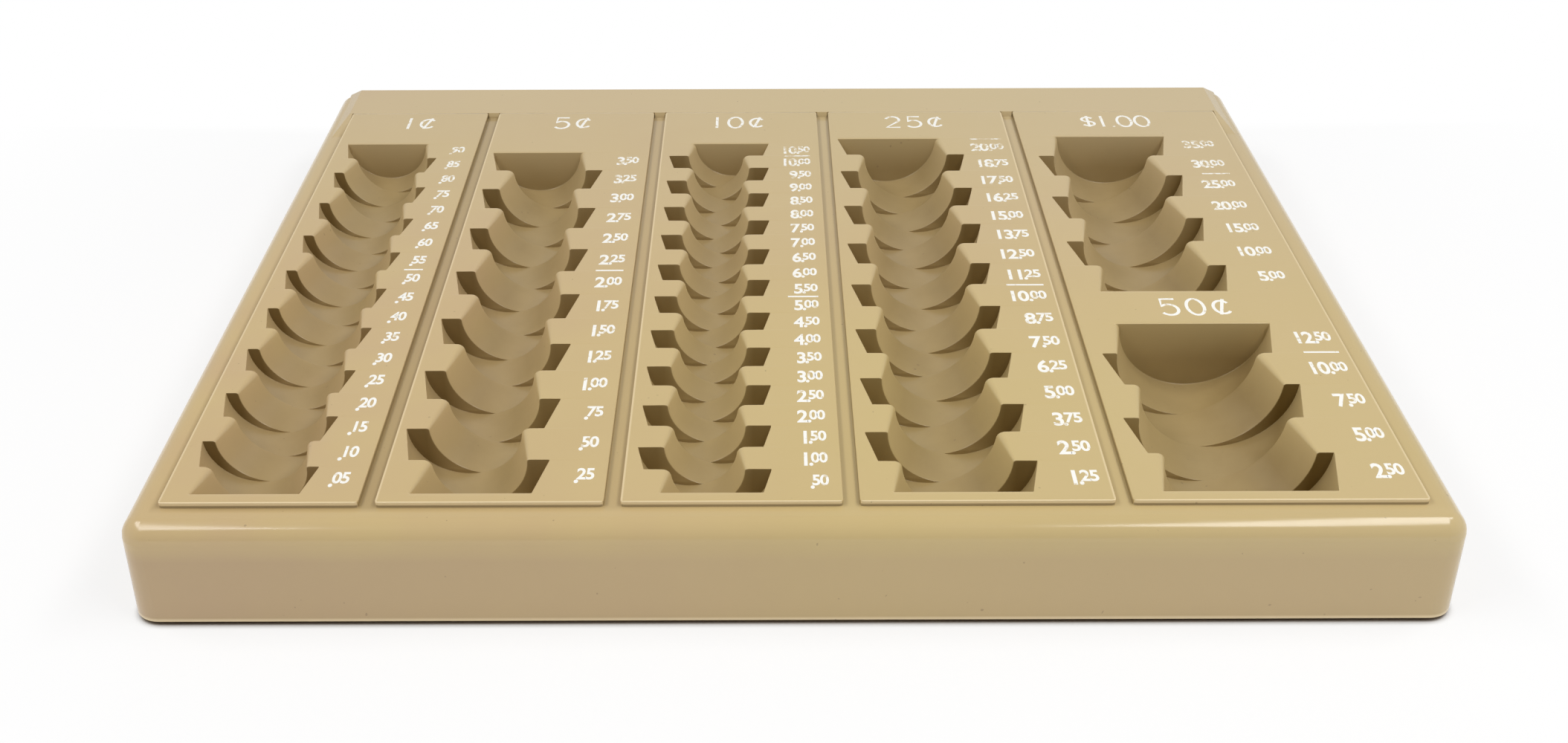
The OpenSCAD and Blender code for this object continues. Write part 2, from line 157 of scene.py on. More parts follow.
class COINTRAY_PrintSizes(bpy.types.PropertyGroup):
    """Sizes of the printed numbers"""
    lift: length("Ink thickness", "How far the ink stands above the plates", 0.02)
    cents_share: share("Cents", "Height of the small digits as a share of the large ones", 0.77)
    bold: share("Boldness", "Extra weight of the digits", 0.027)
    spacing: share("Digit spacing", "Distance between digits as a share of the font's own distance", 0.9)
    line_w: length("Line width", "Width of the line behind a full roll", 0.55)
    heading_h: length("Heading height", "Height of the headings", 6.5)
    heading_w: length("Heading width", "Width of a heading's digit", 3.7)
    heading_pitch: length("Heading pitch", "Distance from one digit of a heading to the next", 5.65)
    heading_stroke: length("Heading stroke", "Width of a heading's strokes", 0.72)
    heading_back: length("Heading distance", "From a plate's back edge to the middle of its heading", 6.25)


class COINTRAY_ScrewSizes(bpy.types.PropertyGroup):
    """Sizes of the screws below the racks"""
    head_d: length("Head diameter", "Diameter of the pan head", 6.2)
    head_h: length("Head height", "Height of the pan head", 1.8)
    head_edge: length("Head edge", "Radius of the pan head's rounded edge", 0.9)
    recess_l: length("Recess length", "Length of each slot of the cross recess", 3.2)
    recess_w: length("Recess width", "Width of each slot of the cross recess", 0.75)
    recess_h: length("Recess depth", "Depth of the cross recess", 1.0)
    shank_d: length("Shank diameter", "Diameter of the shank", 2.2)
    tip: length("Tip", "Width of the ring on the shank's flat tip", 0.5)


class COINTRAY_Finishes(bpy.types.PropertyGroup):
    """Colours and wear of the tray, and the colours of its painted light and shade"""
    beige: colour("Beige", "Main colour of the moulded plastic", (0.60, 0.455, 0.215))
    rosy: colour("Rosy beige", "Warmer patches in the plastic", (0.565, 0.402, 0.222))
    sandy: colour("Sandy beige", "Yellower patches in the plastic", (0.59, 0.46, 0.195))
    # Painted light: the plastic towards the back and the right is painted paler with this colour
    pale: colour("Pale beige", "Plastic towards the back and the right", (0.585, 0.468, 0.29))
    # Painted shade on the walls below the rounded edge
    shade: colour("Shaded beige", "Walls below the rounded edge", (0.485, 0.34, 0.20))
    # Colour of the painted shade, with some dust, in the low places: channels, ramps and cradles
    grime: colour("Grime", "Dust and wear in the low places", (0.31, 0.215, 0.085))
    # Painted shade colour of the upright steps in the cradles and of the plates' shaded edges
    recess: colour("Recess", "Upright steps in the cradles", (0.11, 0.06, 0.005))
    # Painted highlight colour on the plates' front and outer edges, and painted light on the body's bottom
    # edge
    worn: colour("Worn edge", "Edges that are rubbed pale", (0.88, 0.72, 0.45))
    speck: colour("Specks", "Small dark specks in the plastic", (0.16, 0.11, 0.06))
    ink: colour("Ink", "Printed numbers", (0.95, 0.94, 0.89))
    zinc: colour("Zinc", "Plated screws", (0.55, 0.55, 0.57))
    dull_zinc: colour("Dull zinc", "Clouds on the plated screws", (0.4125, 0.4125, 0.4275))
    rubber: colour("Rubber", "Feet", (0.045, 0.043, 0.042))
    rubber_dust: colour("Rubber dust", "Dust on the feet", (0.16, 0.15, 0.14))
    body_roughness: share("Body roughness", "Average roughness of the body's plastic", 0.16)
    rack_roughness: share("Rack roughness", "Average roughness of the racks' plastic", 0.34)
    # Strength of the painted shade, with some dust, in the channels, strongest at the left end of the tray
    channel_dust: share("Channel dust", "Dust in the channels at the left end of the tray", 0.7)
    # Strength of the painted shade, with some dust, deep in the cradles
    cradle_dust: share("Cradle dust", "Dust at the bottom of the cradles", 0.74)
    total_fade: share("Faded totals", "How much more the running totals are worn at the back", 0.16)
    heading_fade: share("Faded headings", "How much more the headings are worn at the back", 0.03)


class COINTRAY_StageSettings(bpy.types.PropertyGroup):
    """Light and floor of the small studio"""
    left_power: power("Left lamp", "Power of the left soft box", 1.4)
    right_power: power("Right lamp", "Power of the right soft box", 1.6)
    fill: share("Fill", "Strength of the even light from above, behind and the sides", 0.33)
    front_fill: share("Front fill", "Strength of the even light from the camera's side", 0.36)
    back_fill: share("Back fill", "Strength of the added light low behind the tray", 0.5)
    side_fill: share("Side fill", "Strength of the added light low beside the tray", 0.5)
    floor: share("Floor", "Brightness of the floor", 0.95)
    shadow: share("Shadow", "How much of the floor's own shading the camera sees", 0.32)


class COINTRAY_Settings(bpy.types.PropertyGroup):
    """All settings of the coin tray"""
    penny: PointerProperty(type=PennyRow, name="Penny row", description="Row of penny cradles")
    nickel: PointerProperty(type=NickelRow, name="Nickel row", description="Row of nickel cradles")
    dime: PointerProperty(type=DimeRow, name="Dime row", description="Row of dime cradles")
    quarter: PointerProperty(type=QuarterRow, name="Quarter row", description="Row of quarter cradles")
    half: PointerProperty(type=HalfRow, name="Half dollar row", description="Row of half dollar cradles")
    dollar: PointerProperty(type=DollarRow, name="Dollar row", description="Row of dollar cradles")
    cradle: PointerProperty(type=COINTRAY_CradleSizes, name="Cradles", description="Sizes of all cradles")
    plate: PointerProperty(type=COINTRAY_PlateSizes, name="Plates", description="Sizes of the plates")
    print: PointerProperty(type=COINTRAY_PrintSizes, name="Print", description="Sizes of the numbers")
    screw: PointerProperty(type=COINTRAY_ScrewSizes, name="Screws", description="Sizes of the screws")
    finish: PointerProperty(type=COINTRAY_Finishes, name="Finishes", description="Colours and wear")
    stage: PointerProperty(type=COINTRAY_StageSettings, name="Studio", description="Light and floor")


def settings():
    """The coin tray's settings in the open scene."""
    return bpy.context.scene.coin_tray


# Racks from left to right, each with its rows of cradles from front to back
RACKS = {
    "penny_rack": ["penny"],
    "nickel_rack": ["nickel"],
    "dime_rack": ["dime"],
    "quarter_rack": ["quarter"],
    "dollar_half_rack": ["half", "dollar"],
}


# Shared modelling steps

def deselect_all():
    """Leaves object mode with nothing selected, because the frame comes in selected."""
    if bpy.context.mode != "OBJECT":
        bpy.ops.object.mode_set(mode="OBJECT")
    bpy.ops.object.select_all(action="DESELECT")


def make_active(piece):
    """Selects one piece alone and makes it the active one."""
    deselect_all()
    piece.select_set(True)
    bpy.context.view_layer.objects.active = piece


def apply_modifier(piece, kind, **values):
    """Adds a modifier with its settings and applies it."""
    make_active(piece)
    modifier = piece.modifiers.new(kind.title(), kind)
    for key, value in values.items():
        setattr(modifier, key, value)
    bpy.ops.object.modifier_apply(modifier=modifier.name)


def select_faces(piece, wanted):
    """Opens a piece in edit mode with only the wanted faces selected."""
    make_active(piece)
    bpy.ops.object.mode_set(mode="EDIT")
    bpy.ops.mesh.select_mode(type="FACE")
    bpy.ops.mesh.select_all(action="DESELECT")
    bpy.ops.object.mode_set(mode="OBJECT")
    for face in piece.data.polygons:
        face.select = wanted(face)
    bpy.ops.object.mode_set(mode="EDIT")


def looks_up(face):
    """Whether a face is level and looks up."""
    return face.normal.z > 0.9


def looks_down(face):
    """Whether a face is level and looks down."""
    return face.normal.z < -0.9


def join(pieces, name):
    """Joins pieces into one and names it."""
    make_active(pieces[0])
    for piece in pieces:
        piece.select_set(True)
    if len(pieces) > 1:
        bpy.ops.object.join()
    joined = bpy.context.object
    joined.name = name
    joined.data.name = name
    return joined


def copies(piece, spots):
    """Copies of a piece at the given spots, each with a mesh of its own, in place of the piece itself."""
    made = []
    for x, y in spots:
        copy = piece.copy()
        copy.data = piece.data.copy()
        copy.data.transform(Matrix.Translation((x, y, 0)))
        bpy.context.scene.collection.objects.link(copy)
        made.append(copy)
    bpy.data.objects.remove(piece)
    return made


def finish_piece(piece, material, body="root", smooth=35):
    """Gives a piece its material and smooth shading, and lets it ride on its body."""
    make_active(piece)
    bpy.ops.object.transform_apply(location=True, rotation=True, scale=True)
    piece.data.materials.clear()
    piece.data.materials.append(material)
    if smooth:
        bpy.ops.object.shade_smooth_by_angle(angle=math.radians(smooth))
    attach(piece, body)


def dress_node(name, material):
    """Gives a CAD node that stays in view its material."""
    if name not in NODES:
        raise RuntimeError(f"The frame has no node named {name}")
    NODES[name].data.materials.clear()
    NODES[name].data.materials.append(material)


# Shader building

class Socket:
    """An output of a shader node that takes part in Python arithmetic."""

    def __init__(self, finish, link):
        self.finish = finish
        self.link = link

    def __add__(self, other):
        return self.finish.math("ADD", self, other)

    def __radd__(self, other):
        return self.finish.math("ADD", other, self)

    def __sub__(self, other):
        return self.finish.math("SUBTRACT", self, other)

    def __rsub__(self, other):
        return self.finish.math("SUBTRACT", other, self)

    def __mul__(self, other):
        return self.finish.math("MULTIPLY", self, other)

    def __rmul__(self, other):
        return self.finish.math("MULTIPLY", other, self)


class Finish:
    """A procedural material, or a world, that is built node by node."""

    def __init__(self, owner, place="Object"):
        self.owner = owner
        owner.use_nodes = True
        self.tree = owner.node_tree
        self.tree.nodes.clear()
        self.place = self.node("ShaderNodeTexCoord", output=place)

    def node(self, kind, options=None, inputs=None, output=0):
        """Adds a node: its options are set first, then its sockets take values or links."""
        made = self.tree.nodes.new(kind)
        for key, value in (options or {}).items():
            setattr(made, key, value)
        for key, value in (inputs or {}).items():
            if isinstance(value, Socket):
                self.tree.links.new(value.link, made.inputs[key])
            else:
                made.inputs[key].default_value = value
        return Socket(self, made.outputs[output]) if made.outputs else None

    def math(self, operation, *values):
        """A Math node on one or two values."""
        return self.node("ShaderNodeMath", {"operation": operation}, dict(enumerate(values)))

    def size(self, value):
        """A value without its sign."""
        return self.math("ABSOLUTE", value)

    def most(self, first, second):
        """The larger of two values."""
        return self.math("MAXIMUM", first, second)

    def span(self, value, low, high, to_low=0, to_high=1):
        """Stretches a range of a value to another range and stops at its ends."""
        return self.node("ShaderNodeMapRange", {"clamp": True},
                         {"Value": value, 1: low, 2: high, 3: to_low, 4: to_high})

    def noise(self, scale, detail=2):
        """Noise on the piece's own coordinates, about 0.5 on average."""
        return self.node("ShaderNodeTexNoise", {},
                         {"Vector": self.place, "Scale": scale, "Detail": detail, "Roughness": 0.5}, "Fac")

    def part(self, axis, of=None):
        """One coordinate of the place that is shaded, or of another output of the Texture Coordinate node."""
        vector = self.node("ShaderNodeTexCoord", output=of) if of else self.place
        return self.node("ShaderNodeSeparateXYZ", {}, {"Vector": vector}, axis)

    def seen(self, *rays):
        """1 for the named kinds of rays and 0 for all others."""
        mask = self.node("ShaderNodeLightPath", output=rays[0])
        for ray in rays[1:]:
            mask = self.most(mask, self.node("ShaderNodeLightPath", output=ray))
        return mask

    def rgba(self, value):
        """A colour with its fourth number, or a link as it is."""
        return value if isinstance(value, Socket) else (*value, 1)

    def mix(self, factor, first, second):
        """Mixes two colours."""
        return self.node("ShaderNodeMix", {"data_type": "RGBA"},
                         {"Factor": factor, 6: self.rgba(first), 7: self.rgba(second)}, 2)

    def bump(self, height, strength, distance):
        """A bump from a height."""
        return self.node("ShaderNodeBump", {}, {"Height": height, "Strength": strength, "Distance": distance})

    def surface(self, **inputs):
        """Ends the material in one principled shader."""
        named = {key.replace("_", " "): value for key, value in inputs.items()}
        shader = self.node("ShaderNodeBsdfPrincipled", {}, named)
        return self.end(shader)

    def end(self, shader, kind="ShaderNodeOutputMaterial"):
        """Links a shader to the output and returns what the nodes belong to."""
        self.node(kind, {}, {"Surface": shader})
        return self.owner


def new_finish(name):
    """An empty procedural material."""
    return Finish(bpy.data.materials.new(name))


# Finishes

# Noise scales in features for each metre, for the plastic, the ink, the zinc and the rubber
PATCHES, CLOUDS, SHEEN, DIMPLES, DUST, SPECKS, GRAIN = 9, 60, 110, 130, 160, 1100, 1900
INK_WEAR, INK_SHEEN = 900, 400
ZINC_CLOUDS = 500
RUBBER_DUST, RUBBER_SHEEN, RUBBER_GRAIN = 320, 200, 2400
# The plastic's refraction, how far its roughness strays, and the strength and height of its relief
PLASTIC_IOR = 1.53
SHEEN_RANGE = 0.04
RELIEF, RELIEF_HEIGHT = 0.12, 0.12 * MM
# Left side of the tray, where the painted shade is strongest: the plastic is rosiest there and the channels
# darkest
LEFT_SIDE = -120 * MM
# How strongly a plate's front face is painted pale, as a painted highlight
FACE_HIGHLIGHT = 0.75
# How much more painted shade the right side of a cradle gets, for each metre that its row lies to the right
SHADE_LEAN = 5
# How much painted shade the steps get: in the middle of a row, added at its left and right, and at the back
# end of a row
STEP_MIDDLE = 0.25
STEP_LEFT = 0.42
STEP_RIGHT = 0.52
STEP_BACK = 0.3
# How much more painted shade the right ends of the steps get, for each metre that their row lies to the right
STEP_LEAN = 2


def plastic_tone(finish):
    """Main colour of the plastic: soft patches at random, with painted shade that makes it rosier to the left
    and painted light that makes it paler to the back and the right.
    """
    tones = settings().finish
    x, y = finish.part("X"), finish.part("Y")
    # Painted shade: the patches lean rosy and darker towards the left
    patches = finish.noise(PATCHES, 1) + finish.span(x, LEFT_SIDE, 0, -0.3, 0)
    tone = finish.mix(finish.span(patches, 0.2, 0.7), tones.rosy, tones.sandy)
    clouds = finish.span(finish.noise(CLOUDS), 0.1, 0.9)
    tone = finish.mix(clouds, tone, tones.beige)
    # Painted light: paler towards the back and the right
    away = finish.span(y, -20 * MM, 80 * MM, 0, 0.42) + finish.span(x, 20 * MM, 120 * MM, 0, 0.2)
    return finish.mix(away, tone, tones.pale)


def moulded_surface(finish, tone, roughness):
    """Ends a plastic with a few dark specks, an uneven satin sheen and a fine grain."""
    specks = finish.span(finish.noise(SPECKS, 0), 0.865, 0.885, 0, 0.35)
    tone = finish.mix(specks, tone, settings().finish.speck)
    sheen = finish.span(finish.noise(SHEEN), 0.2, 0.8, roughness - SHEEN_RANGE, roughness + SHEEN_RANGE)
    grain = finish.noise(GRAIN) * 0.25 + finish.noise(DIMPLES, 1)
    relief = finish.bump(grain, RELIEF, RELIEF_HEIGHT)
    return finish.surface(Base_Color=tone, Roughness=sheen, Normal=relief, IOR=PLASTIC_IOR)


def body_plastic():
    """Plastic of the body, with painted light and shade: shaded walls, channels and ramps darkened by painted
    shade with some dust, and a bottom edge painted pale as light from the floor.
    """
    tones = settings().finish
    low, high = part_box("nickel_rack")
    front, top = low.y, high.z
    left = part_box("penny_rack")[0].x
    finish = new_finish("body_beige")
    x, y, z = (finish.part(axis) for axis in "XYZ")
    # Painted shade: the walls below the rounded edge are painted darker, more so towards the left
    shade = finish.span(x, LEFT_SIDE, 0, 0.65, 0.3) * finish.span(z, 14.5 * MM, 17.5 * MM, 1, 0)
    tone = finish.mix(shade, plastic_tone(finish), tones.shade)
    # Painted shade with some dust in the channels and on the strip by the left plate, fading towards the
    # right
    left_strip = finish.span(x, left - 1.7 * MM, left - 1.1 * MM, 0, 0.4)
    channels = left_strip + finish.span(x, left, left + 9 * MM, 0, 0.6)
    channels = channels * finish.span(x, LEFT_SIDE, 0, tones.channel_dust, 0.05)
    sunk = finish.span(z, top - 1.1 * MM, top - 0.5 * MM, 1, 0) * finish.span(y, front - 1.5 * MM, front)
    # Painted shade on the header's ramps that face the front
    sloping = finish.span(finish.part("Y", "Normal"), -0.5, -0.2, 0.5, 0)
    ramps = sloping * finish.span(z, top - 1.1 * MM, top - 1 * MM)
    tone = finish.mix(channels * sunk + ramps, tone, tones.grime)
    # Painted light: the bottom edge of the walls is painted pale, as light thrown up from the floor
    bottom = finish.span(z, 1.3 * MM, 1.8 * MM, 0.7, 0)
    tone = finish.mix(bottom, tone, tones.worn)
    return moulded_surface(finish, tone, tones.body_roughness)


def rack_plastic(rack):
    """Plastic of a rack: painted shade with some dust in its cradles, painted shade on its steps, and painted
    highlights and shade on its plate edges.
    """
    tones = settings().finish
    finish = new_finish(f"{rack}_beige")
    # Painted shade with some dust in the cradles, deeper down and on one side
    tone = finish.mix(cradle_dust(finish, rack), plastic_tone(finish), tones.grime)
    # Painted shade on the upright steps
    tone = finish.mix(step_shade(finish, rack), tone, tones.recess)
    # Painted highlights on the plate edges, and painted shade at their foot and inner wall
    highlit, shaded = plate_edges(finish, rack)
    tone = finish.mix(highlit, tone, tones.worn)
    tone = finish.mix(shaded, tone, tones.recess)
    return moulded_surface(finish, tone, tones.rack_roughness)


def cradle_dust(finish, rack):
    """How much painted shade, with some dust, lies in the cradles: more deep down, and on the right side of
    the right racks.
    """
    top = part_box(rack)[1].z
    row = cradle_rows(rack)[0]
    deep = finish.span(finish.part("Z"), top - 9 * MM, top - 0.8 * MM, settings().finish.cradle_dust, 0)
    uneven = finish.span(finish.noise(DUST, 4), 0.1, 0.9, 0.75, 1.05)
    lean = max(0, SHADE_LEAN * row.middle)
    side = finish.span(finish.part("X") - row.middle, -row.radius, row.radius, 1 - lean, 1 + lean)
    return deep * uneven * side


def step_shade(finish, rack):
    """How much painted shade the steps between cradles get: darkest at their outer ends, and even at the back
    of a row.
    """
    x, y = finish.part("X"), finish.part("Y")
    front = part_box(rack)[0].y
    rows = cradle_rows(rack)
    middle, radius = rows[0].middle, rows[0].radius
    left_end = finish.span(x, middle - radius, middle - 0.5 * radius, STEP_LEFT - STEP_LEAN * middle, 0)
    right_end = finish.span(x, middle + 0.5 * radius, middle + radius, 0, STEP_RIGHT + STEP_LEAN * middle)
    shade = left_end + right_end + STEP_MIDDLE
    for row in rows:
        between = finish.span(finish.size(y - row.end), 0.4 * MM, 1.2 * MM)
        shade = between * (shade - STEP_BACK) + STEP_BACK
    facing = finish.span(finish.part("Y", "Normal"), -0.95, -0.45, 1, 0)
    return shade * facing * finish.span(y, front + 0.5 * MM, front + 0.8 * MM)


def plate_edges(finish, rack):
    """Where a plate's edges get a painted highlight, at its front and outer side, and where they get painted
    shade.
    """
    low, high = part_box(rack)
    front, top = low.y, high.z
    outer, inner = (high.x, low.x) if low.x + high.x > 0 else (low.x, high.x)
    x, y, z = (finish.part(axis) for axis in "XYZ")
    face = finish.span(y, front + 0.15 * MM, front + 0.3 * MM, 1, 0)
    foot = finish.span(z, top - 0.8 * MM, top - 0.55 * MM, 0.6, 0)
    rim = finish.span(finish.size(x - outer), 0.3 * MM, 0.5 * MM, 0.5, 0)
    rim = rim * finish.span(z, top - 0.5 * MM, top - 0.3 * MM)
    wall = finish.span(finish.size(x - inner), 0.05 * MM, 0.2 * MM, 0.6, 0)
    wall = wall * finish.span(z, top - 0.4 * MM, top - 0.15 * MM, 1, 0)
    return face * FACE_HIGHLIGHT + rim, face * foot + wall


def white_ink(name, fade):
    """Thin white ink, worn through in places, and more so towards the back."""
    tones = settings().finish
    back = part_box("nickel_rack")[1].y
    finish = new_finish(name)
    age = finish.span(finish.part("Y"), back - 65 * MM, back - 10 * MM, 0, fade)
    worn = finish.span(finish.noise(INK_WEAR, 3) + age, 0.59, 0.73, 0.03, 0.8)
    return finish.surface(Base_Color=finish.mix(worn, tones.ink, tones.beige),
                          Roughness=finish.span(finish.noise(INK_SHEEN), 0.3, 0.7, 0.45, 0.6))


def zinc_plate():
    """Zinc plated steel with a dull, uneven sheen."""
    tones = settings().finish
    finish = new_finish("zinc_plate")
    cloud = finish.span(finish.noise(ZINC_CLOUDS, 3), 0.3, 0.7)
    return finish.surface(Base_Color=finish.mix(cloud, tones.zinc, tones.dull_zinc), Metallic=1.0,
                          Roughness=finish.span(cloud, 0, 1, 0.28, 0.45))


def foot_rubber():
    """Matt black rubber with dust."""
    tones = settings().finish
    finish = new_finish("foot_rubber")
    dusty = finish.span(finish.noise(RUBBER_DUST, 4), 0.4, 0.75, 0, 0.35)
    relief = finish.bump(finish.noise(RUBBER_GRAIN), 0.3, 0.1 * MM)
    return finish.surface(Base_Color=finish.mix(dusty, tones.rubber, tones.rubber_dust),
                          Roughness=finish.span(finish.noise(RUBBER_SHEEN), 0.3, 0.7, 0.7, 0.85),
                          Normal=relief)


# Cradles

# Points on a lip, on the bed between two lips, on a rounded step and on a plate's rounded edge
LIP_POINTS = 7
BED_POINTS = 30
STEP_POINTS = 4
EDGE_POINTS = 5
# Half the distance between the cross-sections on the two sides of an upright step
SEAM = 0.02 * MM
# Sides of a boss
BOSS_SIDES = 32
# Points nearer than this become one
WELD = 0.001 * MM
# Share of the edge radius that is left where a plate meets the header
SHARP = 0.01


def circle(x, z, radius, turn):
    """Points on a circle at the given angles."""
    return np.stack([x + radius * np.cos(turn), z + radius * np.sin(turn)], 1)


def level(points, z):
    """The same points, all at one height."""
    flat = points.copy()
    flat[:, 1] = z
    return flat


def edge_rings():
    """Points of a plate's rounded edge: distances from its outline, and heights from its top."""
    plate = settings().plate
    turn = np.linspace(0, math.pi / 2, EDGE_POINTS)
    rings = np.concatenate([[0], plate.edge * (1 - np.cos(turn))])
    drop = np.concatenate([[-plate.thickness], plate.edge * (np.sin(turn) - 1)])
    return rings, drop


class CradleRow:
    """Places and cross-sections of one row of cradles, in the tray's own frame."""

    def __init__(self, rack, row, start):
        sizes = settings()
        self.row = row
        self.cradle = sizes.cradle
        self.plate = sizes.plate
        self.rings = edge_rings()[0]
        low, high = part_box(rack)
        self.left, self.right, self.top = low.x, high.x, high.z
        self.radius = row.coin_d / 2 + self.cradle.room
        self.pitch = self.cradle.coins * row.coin_t + row.slack
        self.start = low.y + start
        self.end = self.start + row.cradles * self.pitch
        self.lean = math.tan(self.cradle.yaw)
        self.widen = 1 / math.cos(self.cradle.yaw)
        reach = max(row.swing, self.pitch * self.lean - row.swing) + self.radius * self.widen
        self.middle = self.left + row.edge + reach

    def side(self, index):
        """The first cradle swings to the right, the next one to the left, and so on."""
        return 1 if index % 2 == 0 else -1

    def axis(self, index, y):
        """Where the axis of a cradle is at a given distance to the back."""
        back = self.start + (index + 1) * self.pitch
        return self.middle + self.side(index) * (self.row.swing + (y - back) * self.lean)

    def bed(self, index, y):
        """Cross-section of a cradle with its two lips, from left to right."""
        way = min(max((y - self.start) / self.pitch - index, 0), 1)
        inner = self.cradle.lip_front + way * (self.cradle.lip_back - self.cradle.lip_front)
        outer = self.cradle.rim
        r = self.radius
        left, right = (inner, outer) if self.side(index) > 0 else (outer, inner)
        left_reach, right_reach = (math.sqrt(r * r + 2 * r * lip) for lip in (left, right))
        left_dip, right_dip = math.atan2(left, left_reach), math.atan2(right, right_reach)
        left_turn = np.linspace(math.pi / 2, left_dip, LIP_POINTS)
        turn = np.linspace(math.pi + left_dip, 2 * math.pi - right_dip, BED_POINTS + 2)[1:-1]
        right_turn = np.linspace(math.pi - right_dip, math.pi / 2, LIP_POINTS)
        return np.concatenate([circle(-left_reach, -left, left, left_turn), circle(0, 0, r, turn),
                               circle(right_reach, -right, right, right_turn)])

    def shell(self):
        """Cross-section of the outside of a cradle below its plate, from left to right."""
        r = self.radius + self.cradle.wall
        dip = math.asin(self.plate.thickness / r)
        return circle(0, 0, r, np.linspace(math.pi + dip, 2 * math.pi - dip, BED_POINTS + 2 * LIP_POINTS))

    def across(self, section, axis, plate_z):
        """A whole cross-section of the rack: edge, plate, the given section, plate, edge."""
        inner = self.plate.corner
        left = np.concatenate([self.left + self.rings, [self.left + inner]])
        right = np.concatenate([[self.right - inner], self.right - self.rings[::-1]])
        edge = np.full(len(left), plate_z)
        x = np.concatenate([left, axis + section[:, 0] * self.widen, right])
        return np.stack([x, self.top + np.concatenate([edge, section[:, 1], edge])], 1)

    def upper(self, index, y):
        """Points of the top surface across the rack, through one cradle."""
        return self.across(self.bed(index, y), self.axis(index, y), 0.0)

    def lower(self, index, y):
        """Points of the underside across the rack, through one cradle's shell."""
        return self.across(self.shell(), self.axis(index, y), -self.plate.thickness)

    def lower_both(self, index, y):
        """The underside where the shells of two neighbours overlap."""
        first = self.lower(index, y)
        second = self.lower(index + 1, y)
        half = len(first) // 2
        left, right = (second, first) if self.side(index) > 0 else (first, second)
        return np.concatenate([left[:half], right[half:]])

    def plate_top(self, index, y):
        """The top of the plate in front of a row or behind it, in line with one cradle."""
        return level(self.upper(index, y), self.top)

    def plate_under(self, index, y):
        """The underside of the plate in front of a row or behind it, in line with one cradle."""
        return level(self.lower(index, y), self.top - self.plate.thickness)


def cradle_rows(rack):
    """The rows of cradles of a rack, from front to back."""
    sizes = settings()
    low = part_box(rack)[0]
    rows = []
    start = sizes.cradle.front
    for name in RACKS[rack]:
        row = CradleRow(rack, getattr(sizes, name), start)
        rows.append(row)
        start = row.end - low.y + sizes.cradle.gap
    return rows


def fillet(before, after, radius, turn, leaving):
    """Points on the round edge between two cross-sections, leaving the first or reaching the second."""
    way = after - before
    size = np.linalg.norm(way, axis=1, keepdims=True)
    unit = way / np.maximum(size, 1e-9)
    reach = np.minimum(radius, size / 2)
    if leaving:
        return before + unit * reach * (1 - math.cos(turn))
    return after - unit * reach * (1 - math.sin(turn))


def seam(y, tops, unders):
    """Cross-sections where two stretches of a rack meet: shell end, rounded step in the top, shell end."""
    wall, step = settings().cradle.wall, settings().cradle.step
    before, after = tops
    under_before, under_both, under_after = unders
    turns = np.linspace(0, math.pi / 2, STEP_POINTS)
    stations = []
    for place, under in ((y - wall - SEAM, under_before), (y - wall + SEAM, under_both)):
        stations.append((place, before(place), under(place)))
    for turn in turns:
        place = y - SEAM - step * (1 - math.sin(turn))
        edge = fillet(before(place), after(place), step, turn, True)
        stations.append((place, edge, under_both(place)))
    for turn in turns:
        place = y + SEAM + step * (1 - math.cos(turn))
        edge = fillet(before(place), after(place), step, turn, False)
        stations.append((place, edge, under_both(place)))
    for place, under in ((y + wall - SEAM, under_both), (y + wall + SEAM, under_after)):
        stations.append((place, after(place), under(place)))
    return stations


def rack_stations(rack):
    """Cross-sections of a rack's rows from front to back: distance, top points and underside points."""
    stations = []
    for row in cradle_rows(rack):
        last = row.row.cradles - 1
        upper = [partial(row.upper, index) for index in range(last + 1)]
        lower = [partial(row.lower, index) for index in range(last + 1)]
        stations += seam(row.start, (partial(row.plate_top, 0), upper[0]),
                         (partial(row.plate_under, 0), lower[0], lower[0]))
        for index in range(last):
            both = partial(row.lower_both, index)
            stations += seam(row.start + (index + 1) * row.pitch, (upper[index], upper[index + 1]),
                             (lower[index], both, lower[index + 1]))
        stations += seam(row.end, (upper[last], partial(row.plate_top, last)),
                         (lower[last], lower[last], partial(row.plate_under, last)))
    return stations


def round_corner(x, y, low, high, radius):
    """Moves points of a square-cornered sheet onto a plan with round corners."""
    middle_x, middle_y = (low.x + high.x) / 2, (low.y + high.y) / 2
    side_x, side_y = np.sign(x - middle_x), np.sign(y - middle_y)
    u = (np.abs(x - middle_x) - (high.x - low.x) / 2 + radius) / radius
    v = (np.abs(y - middle_y) - (high.y - low.y) / 2 + radius) / radius
    corner = (u > 0) & (v > 0)
    u_in, v_in = np.clip(u, 0, 1), np.clip(v, 0, 1)
    shift_x = u_in * (np.sqrt(1 - v_in ** 2 / 2) - 1) * radius
    shift_y = v_in * (np.sqrt(1 - u_in ** 2 / 2) - 1) * radius
    return x + np.where(corner, side_x * shift_x, 0), y + np.where(corner, side_y * shift_y, 0)


